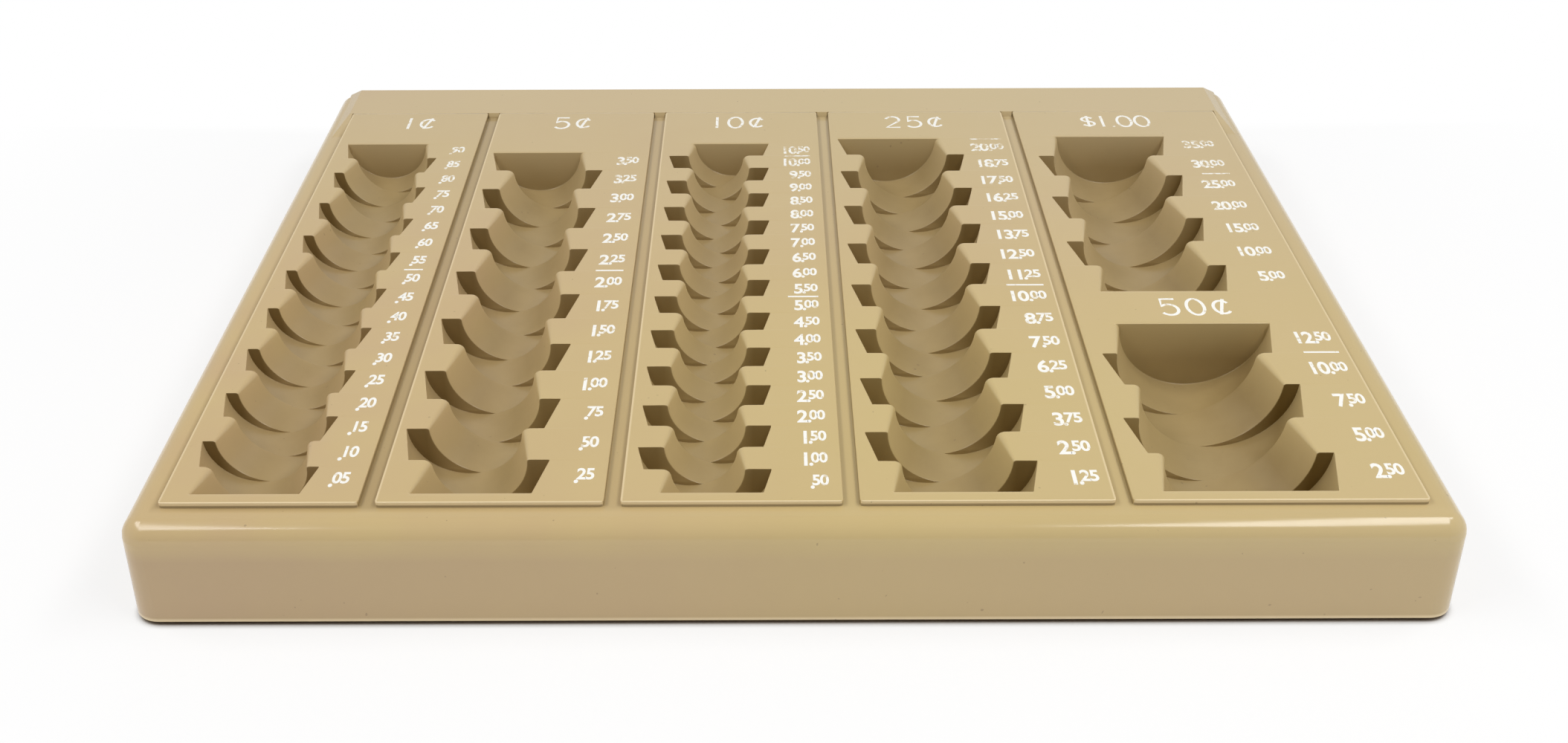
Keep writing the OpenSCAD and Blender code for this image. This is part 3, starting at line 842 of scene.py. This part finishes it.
def rack_surfaces(rack):
    """The top and the underside of a rack as grids of points, with rounded edges and corners."""
    plate = settings().plate
    low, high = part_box(rack)
    back = high.y + plate.back_gap
    rings, drop = edge_rings()
    inside = rack_stations(rack)
    first, final = inside[0], inside[-1]
    if first[0] < low.y + plate.corner or final[0] > back - plate.corner:
        raise RuntimeError(f"The cradles of {rack} are longer than its plate")
    stations = [(low.y + ring, first[1], first[2]) for ring in (*rings, plate.corner)]
    stations += inside
    stations += [(back - plate.corner, final[1], final[2])]
    stations += [(back - ring * SHARP, final[1], final[2]) for ring in rings[::-1]]
    y = np.array([station[0] for station in stations])
    top = np.stack([station[1] for station in stations])
    under = np.stack([station[2] for station in stations])
    # The two sheets share their columns at the front and the back, so that they meet point by point
    border = len(rings) + 1
    for ends in (slice(border), slice(-border, None)):
        under[ends, :, 0] = top[ends, :, 0]
    along, across = top.shape[:2]
    drop_x = np.concatenate([drop, np.zeros(across - 2 * len(drop)), drop[::-1]])
    sharp = np.concatenate([drop[:1], drop[1:] * SHARP])
    drop_y = np.concatenate([drop, np.zeros(along - 2 * len(drop)), sharp[::-1]])
    sunk = np.minimum(drop_x[None, :], drop_y[:, None])
    top[:, :, 1] = np.where(sunk < 0, high.z + sunk, top[:, :, 1])
    plan_high = Vector((high.x, back, high.z))
    y_square = np.repeat(y[:, None], across, 1)
    surfaces = []
    for points in (top, under):
        x_round, y_round = round_corner(points[:, :, 0], y_square, low, plan_high, plate.corner)
        surfaces.append(np.stack([x_round, y_round, points[:, :, 1]], 2))
    return surfaces


def sheet(points, name):
    """A grid whose points are moved to the given rows and columns of places."""
    rows, columns = points.shape[:2]
    deselect_all()
    bpy.ops.mesh.primitive_grid_add(x_subdivisions=columns - 1, y_subdivisions=rows - 1, size=1)
    grid = bpy.context.object
    grid.name = name
    start = np.zeros(len(grid.data.vertices) * 3)
    grid.data.vertices.foreach_get("co", start)
    start = start.reshape(-1, 3)
    column = np.rint((start[:, 0] + 0.5) * (columns - 1)).astype(int)
    row = np.rint((start[:, 1] + 0.5) * (rows - 1)).astype(int)
    grid.data.vertices.foreach_set("co", points[row, column].ravel())
    grid.data.update()
    return grid


def boss_spots(low, high):
    """Middles of the three bosses of a rack: front right, back right and back left."""
    plate = settings().plate
    return [(high.x - plate.boss_side, low.y + plate.boss_end),
            (high.x - plate.boss_side, high.y - plate.boss_end),
            (low.x + plate.boss_side, high.y - plate.boss_end)]


def make_boss(top):
    """A round boss with a pilot hole from below, in the middle of the frame."""
    plate = settings().plate
    deselect_all()
    depth = plate.boss_l + plate.thickness / 2
    bpy.ops.mesh.primitive_cylinder_add(vertices=BOSS_SIDES, radius=plate.boss_d / 2, depth=depth,
                                        location=(0, 0, top - depth / 2))
    boss = bpy.context.object
    select_faces(boss, looks_down)
    bpy.ops.mesh.inset(thickness=(plate.boss_d - plate.pilot_d) / 2)
    bpy.ops.mesh.extrude_region_move(TRANSFORM_OT_translate={"value": (0, 0, plate.pilot_depth * depth)})
    bpy.ops.object.mode_set(mode="OBJECT")
    bpy.ops.object.transform_apply(location=True)
    return boss


def make_rack(rack):
    """One rack: a top sheet and an underside sheet, closed at the plate's lower edge, with bosses."""
    low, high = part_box(rack)
    top, under = rack_surfaces(rack)
    piece = join([sheet(top, f"{rack}_top"), sheet(under, f"{rack}_under")], f"{rack}_moulding")
    bpy.ops.object.mode_set(mode="EDIT")
    bpy.ops.mesh.select_all(action="SELECT")
    bpy.ops.mesh.remove_doubles(threshold=WELD)
    bpy.ops.mesh.normals_make_consistent(inside=False)
    bpy.ops.object.mode_set(mode="OBJECT")
    boss = make_boss(high.z - settings().plate.thickness / 2)
    return join([piece] + copies(boss, boss_spots(low, high)), f"{rack}_moulding")


# Printed numbers

# Text size for a digit of height 1, and straight pieces in a digit's curves
FONT_SCALE = 1.37
DIGIT_STEPS = 4
# Distance of the point from the cents and of the units from the cents, as shares of the point's width.
# Beside a slim 1 it is larger.
POINT_ROOM, POINT_ROOM_AT_ONE = 0.45, 1.1
UNITS_ROOM, UNITS_ROOM_AT_ONE = 0.3, 0.85


def type_text(words, height, wide):
    """A line of thin solid digits, with its left end and baseline at the origin, and its width."""
    sizes = settings().print
    deselect_all()
    bpy.ops.object.text_add()
    line = bpy.context.object
    line.data.body = words
    line.data.size = height * FONT_SCALE
    line.data.offset = sizes.bold * line.data.size
    line.data.extrude = sizes.lift
    line.data.resolution_u = DIGIT_STEPS
    line.data.space_character = sizes.spacing
    bpy.ops.object.convert(target="MESH")
    line = bpy.context.object
    line.data.transform(Matrix.Diagonal((wide, 1, 1, 1)))
    x = np.array([vertex.co.x for vertex in line.data.vertices])
    line.data.transform(Matrix.Translation((-x.min(), 0, 0)))
    return line, x.max() - x.min()


def make_total(total, height, wide, right, y, z):
    """A running total: large units, a low point and smaller raised cents, ending at its right edge."""
    units, cents = divmod(total, 100)
    small = height * settings().print.cents_share
    base = y - height / 2
    cents_text, cents_w = type_text(f"{cents:02d}", small, wide)
    left = right - cents_w
    cents_text.data.transform(Matrix.Translation((left, y + height / 2 - small, z)))
    point, point_w = type_text(".", height, wide)
    beside_one = units == 0 and cents // 10 == 1
    room = POINT_ROOM_AT_ONE if beside_one else POINT_ROOM
    point.data.transform(Matrix.Translation((left - room * point_w, base, z)))
    pieces = [cents_text, point]
    if units:
        units_text, units_w = type_text(str(units), height, wide)
        room = UNITS_ROOM_AT_ONE if units % 10 == 1 else UNITS_ROOM
        units_text.data.transform(Matrix.Translation((left - room * point_w - units_w, base, z)))
        pieces.append(units_text)
    return pieces


def make_line(left, right, y, z):
    """A thin printed line."""
    sizes = settings().print
    deselect_all()
    bpy.ops.mesh.primitive_cube_add(size=1)
    line = bpy.context.object
    line.data.transform(Matrix.Diagonal((right - left, sizes.line_w, 2 * sizes.lift, 1)))
    line.data.transform(Matrix.Translation(((left + right) / 2, y, z)))
    return line


def arc(cx, cy, rx, ry, start, end, degrees=12):
    """Points on an ellipse between two angles, about so many degrees apart."""
    turn = np.radians(np.linspace(start, end, max(3, int(abs(end - start) / degrees))))
    return list(zip(cx + rx * np.cos(turn), cy + ry * np.sin(turn)))


# Strokes of the headings' characters in a box that is 1 wide and 1 high
STROKES = {
    "1": [[(0.5, 0), (0.5, 1)]],
    "0": [arc(0.5, 0.5, 0.5, 0.5, 90, 450)],
    "2": [arc(0.5, 0.71, 0.47, 0.29, 165, -30) + [(0.03, 0), (1, 0)]],
    "5": [[(0.93, 1), (0.12, 1), (0.06, 0.54)] + arc(0.46, 0.33, 0.52, 0.33, 130, -145)],
    "$": [arc(0.5, 0.68, 0.4, 0.2, 30, 265) + arc(0.5, 0.30, 0.42, 0.2, 85, -150), [(0.5, 0), (0.5, 1)]],
    "c": [arc(0.52, 0.48, 0.5, 0.4, 40, 320), [(0.3, 0.02), (0.72, 0.98)]],
    ".": [[(0.42, 0.02), (0.58, 0.02)]],
}
# Steps in the rounding of a stroke
STROKE_STEPS = 2
# Width of a character's own space, as a share of a digit's
NARROW = {"1": 0.72, ".": 0.4, "$": 0.9}
# Each row's heading, how far it lies right of the plate's middle in millimetres, and how wide it is spaced
HEADINGS = {
    "penny": ("1c", 1.0, 1),
    "nickel": ("5c", -0.4, 1),
    "dime": ("10c", -0.6, 1),
    "quarter": ("25c", -0.6, 1),
    "half": ("50c", -0.6, 1),
    "dollar": ("$1.00", -0.5, 0.82),
}


def make_heading(words, spacing, x, y, z):
    """A heading of single strokes, centred on its place."""
    sizes = settings().print
    spaces = [NARROW.get(letter, 1) * sizes.heading_pitch * spacing for letter in words]
    left = x - sum(spaces) / 2
    deselect_all()
    drawing = bpy.data.curves.new("heading", "CURVE")
    drawing.dimensions = "3D"
    drawing.bevel_depth = sizes.heading_stroke / 2
    drawing.bevel_resolution = STROKE_STEPS
    drawing.use_fill_caps = True
    for letter, space in zip(words, spaces):
        middle = left + space / 2
        for stroke in STROKES[letter]:
            spline = drawing.splines.new("POLY")
            spline.points.add(len(stroke) - 1)
            for point, (u, v) in zip(spline.points, stroke):
                point.co = (middle + (u - 0.5) * sizes.heading_w, (v - 0.5) * sizes.heading_h + y, 0, 1)
        left += space
    line = bpy.data.objects.new("heading", drawing)
    bpy.context.scene.collection.objects.link(line)
    make_active(line)
    bpy.ops.object.convert(target="MESH")
    line = bpy.context.object
    line.data.transform(Matrix.Diagonal((1, 1, 2 * sizes.lift / sizes.heading_stroke, 1)))
    line.data.transform(Matrix.Translation((0, 0, z)))
    return line


# Screws

# Sides of a head and of a shank, and steps in the rounding of a head
HEAD_SIDES = 40
SHANK_SIDES = 24
HEAD_STEPS = 5


def make_screw(low, high):
    """A pan head screw with a cross recess, head down, between two heights in the middle of the frame."""
    sizes = settings().screw
    deselect_all()
    bpy.ops.mesh.primitive_cylinder_add(vertices=HEAD_SIDES, radius=sizes.head_d / 2, depth=sizes.head_h,
                                        location=(0, 0, low + sizes.head_h / 2))
    head = bpy.context.object
    select_faces(head, looks_down)
    bpy.ops.mesh.bevel(offset=sizes.head_edge, segments=HEAD_STEPS, affect="EDGES")
    bpy.ops.object.mode_set(mode="OBJECT")
    bpy.ops.object.transform_apply(location=True)
    for plan in ((sizes.recess_l, sizes.recess_w), (sizes.recess_w, sizes.recess_l)):
        deselect_all()
        bpy.ops.mesh.primitive_cube_add(size=1, location=(0, 0, low))
        blade = bpy.context.object
        blade.scale = (*plan, 2 * sizes.recess_h)
        apply_modifier(head, "BOOLEAN", object=blade, operation="DIFFERENCE", solver="EXACT")
        bpy.data.objects.remove(blade)
    deselect_all()
    shank_l = high - low - sizes.head_h
    bpy.ops.mesh.primitive_cylinder_add(vertices=SHANK_SIDES, radius=sizes.shank_d / 2, depth=shank_l,
                                        location=(0, 0, high - shank_l / 2))
    shank = bpy.context.object
    select_faces(shank, looks_up)
    bpy.ops.mesh.inset(thickness=sizes.tip)
    bpy.ops.object.mode_set(mode="OBJECT")
    bpy.ops.object.transform_apply(location=True)
    return join([head, shank], "screw")


# Studio

# Width of the floor, and the soft boxes: how far they stand to the sides, to the back and up, and their
# width and depth, in metres
FLOOR_WIDTH = 6
LEFT_LAMP_X, RIGHT_LAMP_X = -0.38, 0.30
LAMP_Y, LAMP_Z = -0.11, 0.52
LAMP_WIDTH, LAMP_DEPTH = 0.5, 0.14
# Painted contact shadow where the tray stands: its reach, the openness of the floor there and beside it, and
# its colour
CONTACT = 2 * MM
CONTACT_OPEN, FLOOR_OPEN = 0.4, 0.85
CONTACT_SHADOW_TONE = (0.2, 0.15, 0.1)
# Where the floor turns to plain white: at these distances from its middle, and at these to the back
WHITE_FROM, WHITE_ALL = 170 * MM, 260 * MM
BACK_WHITE_FROM, BACK_WHITE_ALL = 96 * MM, 120 * MM
# Directions between which the world's light changes: their part to the back, and their part to a side
FRONT, OVERHEAD = -0.75, 0.1
BEHIND, LOW_BEHIND = 0.7, 0.95
BESIDE, LOW_BESIDE = 0.5, 0.95
# The camera's sensor, the picture's width and the focal length in pixels, and the shift of the picture
SENSOR_WIDTH = 36
PICTURE_WIDTH = 2109
FOCAL_PIXELS = 2139.4
SHIFT_X, SHIFT_Y = 0.01356, -0.00303
# The camera's place from the plates' front top edge at the tray's middle, and its turns in degrees
EYE_X, EYE_Y, EYE_Z = -5.355 * MM, -225.38 * MM, 179.63 * MM
TURN_LEFT, TURN_UP, ROLL = 0.048, 56.282, -0.211


def pale_floor():
    """White floor that keeps a light shadow around the tray, with a painted contact shadow where the tray
    stands.
    """
    stage = settings().stage
    finish = new_finish("pale_floor")
    seen = finish.seen("Is Camera Ray", "Is Glossy Ray", "Is Transmission Ray")
    open_air = finish.node("ShaderNodeAmbientOcclusion", {"samples": 12}, {"Distance": CONTACT}, "AO")
    clear = finish.span(open_air, CONTACT_OPEN, FLOOR_OPEN)
    # Painted contact shadow: the floor colour turns dark where the tray shuts out the open air
    tone = finish.mix(clear, CONTACT_SHADOW_TONE, (stage.floor, stage.floor, stage.floor))
    matt = finish.node("ShaderNodeBsdfDiffuse", {}, {"Color": tone})
    white = finish.node("ShaderNodeEmission", {}, {"Color": (1, 1, 1, 1), "Strength": 1.0})
    away = finish.node("ShaderNodeVectorMath", {"operation": "LENGTH"}, {0: finish.place}, "Value")
    bright = finish.span(away, WHITE_FROM, WHITE_ALL, 1 - stage.shadow, 1)
    bright = finish.most(bright, finish.span(finish.part("Y"), BACK_WHITE_FROM, BACK_WHITE_ALL))
    shown = finish.node("ShaderNodeMixShader", {}, {"Fac": seen * clear * bright, 1: matt, 2: white})
    return finish.end(shown)


def studio_world():
    """Even light from all round, with more of it low behind and low beside the tray.
    The camera alone sees it white, because the plastic would mirror a white sky too strongly."""
    stage = settings().stage
    world = Finish(bpy.data.worlds.new("studio"), "Generated")
    x, y = world.part("X"), world.part("Y")
    light = world.span(y, FRONT, OVERHEAD, stage.front_fill, stage.fill)
    light = light + world.span(y, BEHIND, LOW_BEHIND, 0, stage.back_fill)
    light = light + world.span(world.size(x), BESIDE, LOW_BESIDE, 0, stage.side_fill)
    seen = world.seen("Is Camera Ray")
    strength = light * (1 - seen) + seen
    sky = world.node("ShaderNodeBackground", {}, {"Color": (1, 1, 1, 1), "Strength": strength})
    return world.end(sky, "ShaderNodeOutputWorld")


def make_floor():
    """A wide floor under the tray."""
    bpy.ops.mesh.primitive_plane_add(size=FLOOR_WIDTH)
    floor = bpy.context.object
    floor.name = "floor"
    floor.data.materials.append(pale_floor())


def make_lamp(name, x, watts):
    """A soft box above the tray's front that is aimed at the tray."""
    bpy.ops.object.light_add(type="AREA", location=(x, LAMP_Y, LAMP_Z))
    lamp = bpy.context.object
    lamp.name = name
    lamp.data.shape = "RECTANGLE"
    lamp.data.size = LAMP_WIDTH
    lamp.data.size_y = LAMP_DEPTH
    lamp.data.energy = watts
    aim = Vector((0, 0, 0)) - lamp.location
    lamp.rotation_euler = aim.to_track_quat("-Z", "Y").to_euler()


def make_camera():
    """The camera, where the photograph was taken from."""
    low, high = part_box("nickel_rack")
    bpy.ops.object.camera_add()
    camera = bpy.context.object
    camera.name = "camera"
    view = camera.data
    view.sensor_fit = "HORIZONTAL"
    view.sensor_width = SENSOR_WIDTH
    view.lens = SENSOR_WIDTH * FOCAL_PIXELS / PICTURE_WIDTH
    view.shift_x = SHIFT_X
    view.shift_y = SHIFT_Y
    eye = Matrix.Translation((EYE_X, low.y + EYE_Y, high.z + EYE_Z))
    left = Matrix.Rotation(math.radians(TURN_LEFT), 4, "Z")
    up = Matrix.Rotation(math.radians(TURN_UP), 4, "X")
    roll = Matrix.Rotation(math.radians(ROLL), 4, "Z")
    camera.matrix_world = eye @ (left @ up) @ roll
    return camera


# Operators

class COINTRAY_OT_stage(bpy.types.Operator):
    """Sets up the floor, the light and the camera"""
    bl_idname = "coin_tray.stage"
    bl_label = "Studio"

    def execute(self, context):
        stage = settings().stage
        deselect_all()
        make_floor()
        context.scene.world = studio_world()
        make_lamp("left_box", LEFT_LAMP_X, stage.left_power)
        make_lamp("right_box", RIGHT_LAMP_X, stage.right_power)
        context.scene.camera = make_camera()
        context.scene.view_settings.view_transform = "Standard"
        return {"FINISHED"}


class COINTRAY_OT_body(bpy.types.Operator):
    """Gives the tray body its moulded plastic"""
    bl_idname = "coin_tray.body"
    bl_label = "Tray body"

    def execute(self, context):
        dress_node("tray_body", body_plastic())
        return {"FINISHED"}


class COINTRAY_OT_racks(bpy.types.Operator):
    """Makes the five racks with their zig-zag cradles"""
    bl_idname = "coin_tray.racks"
    bl_label = "Racks"

    def execute(self, context):
        for rack in RACKS:
            piece = make_rack(rack)
            finish_piece(piece, rack_plastic(rack))
            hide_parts(rack)
        return {"FINISHED"}


class COINTRAY_OT_totals(bpy.types.Operator):
    """Prints the running totals beside the cradles"""
    bl_idname = "coin_tray.totals"
    bl_label = "Running totals"

    def execute(self, context):
        coins = settings().cradle.coins
        ink = white_ink("total_ink", settings().finish.total_fade)
        for rack in RACKS:
            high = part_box(rack)[1]
            pieces = []
            for place in cradle_rows(rack):
                row = place.row
                right = high.x - row.inset
                for index in range(row.cradles):
                    held = coins * (index + 1)
                    y = place.start + (index + 0.5) * place.pitch + row.shift
                    pieces += make_total(held * row.cents, row.digit_h, row.wide, right, y, high.z)
                    if held % row.roll == 0:
                        pieces.append(make_line(right - row.line, right, y + place.pitch / 2, high.z))
            finish_piece(join(pieces, f"{rack}_totals"), ink, smooth=0)
        return {"FINISHED"}


class COINTRAY_OT_headings(bpy.types.Operator):
    """Draws the coin values behind the rows"""
    bl_idname = "coin_tray.headings"
    bl_label = "Headings"

    def execute(self, context):
        sizes = settings()
        ink = white_ink("heading_ink", sizes.finish.heading_fade)
        for rack, names in RACKS.items():
            low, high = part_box(rack)
            pieces = []
            for name, row in zip(names, cradle_rows(rack)):
                last = name == names[-1]
                y = high.y - sizes.print.heading_back if last else row.end + sizes.cradle.gap / 2
                words, shift, spacing = HEADINGS[name]
                x = (low.x + high.x) / 2 + shift * MM
                pieces.append(make_heading(words, spacing, x, y, high.z))
            finish_piece(join(pieces, f"{rack}_heading"), ink)
        return {"FINISHED"}


class COINTRAY_OT_screws(bpy.types.Operator):
    """Makes the screws that hold the racks from below"""
    bl_idname = "coin_tray.screws"
    bl_label = "Screws"

    def execute(self, context):
        plating = zinc_plate()
        for rack in RACKS:
            node = f"{rack}_screws"
            low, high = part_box(node)
            screws = copies(make_screw(low.z, high.z), boss_spots(*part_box(rack)))
            piece = join(screws, f"{rack}_fixings")
            finish_piece(piece, plating, smooth=30)
            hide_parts(node)
        return {"FINISHED"}


class COINTRAY_OT_feet(bpy.types.Operator):
    """Gives the four feet their rubber"""
    bl_idname = "coin_tray.feet"
    bl_label = "Feet"

    def execute(self, context):
        rubber = foot_rubber()
        for end in ("front", "rear"):
            for side in ("left", "right"):
                dress_node(f"{end}_{side}_foot", rubber)
        return {"FINISHED"}


OPERATORS = [COINTRAY_OT_stage, COINTRAY_OT_body, COINTRAY_OT_racks, COINTRAY_OT_totals,
             COINTRAY_OT_headings, COINTRAY_OT_screws, COINTRAY_OT_feet]


class COINTRAY_PT_panel(bpy.types.Panel):
    """Lists the steps of the coin tray"""
    bl_idname = "COINTRAY_PT_panel"
    bl_label = "Coin Tray"
    bl_space_type = "VIEW_3D"
    bl_region_type = "UI"
    bl_category = "Coin Tray"

    def draw(self, context):
        for operator in OPERATORS:
            self.layout.operator(operator.bl_idname)


GROUPS = [PennyRow, NickelRow, DimeRow, QuarterRow, HalfRow, DollarRow, COINTRAY_CradleSizes,
          COINTRAY_PlateSizes, COINTRAY_PrintSizes, COINTRAY_ScrewSizes, COINTRAY_Finishes,
          COINTRAY_StageSettings, COINTRAY_Settings]
CLASSES = GROUPS + OPERATORS + [COINTRAY_PT_panel]


def register():
    """Registers the settings, the operators and the panel."""
    for group in CLASSES:
        bpy.utils.register_class(group)
    bpy.types.Scene.coin_tray = PointerProperty(type=COINTRAY_Settings)


def unregister():
    """Takes the panel, the operators and the settings away again."""
    del bpy.types.Scene.coin_tray
    for group in reversed(CLASSES):
        bpy.utils.unregister_class(group)


def main():
    """Builds the dressed coin tray."""
    register()
    bpy.ops.coin_tray.stage()
    bpy.ops.coin_tray.body()
    bpy.ops.coin_tray.racks()
    bpy.ops.coin_tray.totals()
    bpy.ops.coin_tray.headings()
    bpy.ops.coin_tray.screws()
    bpy.ops.coin_tray.feet()


if __name__ == "__main__":
    main()
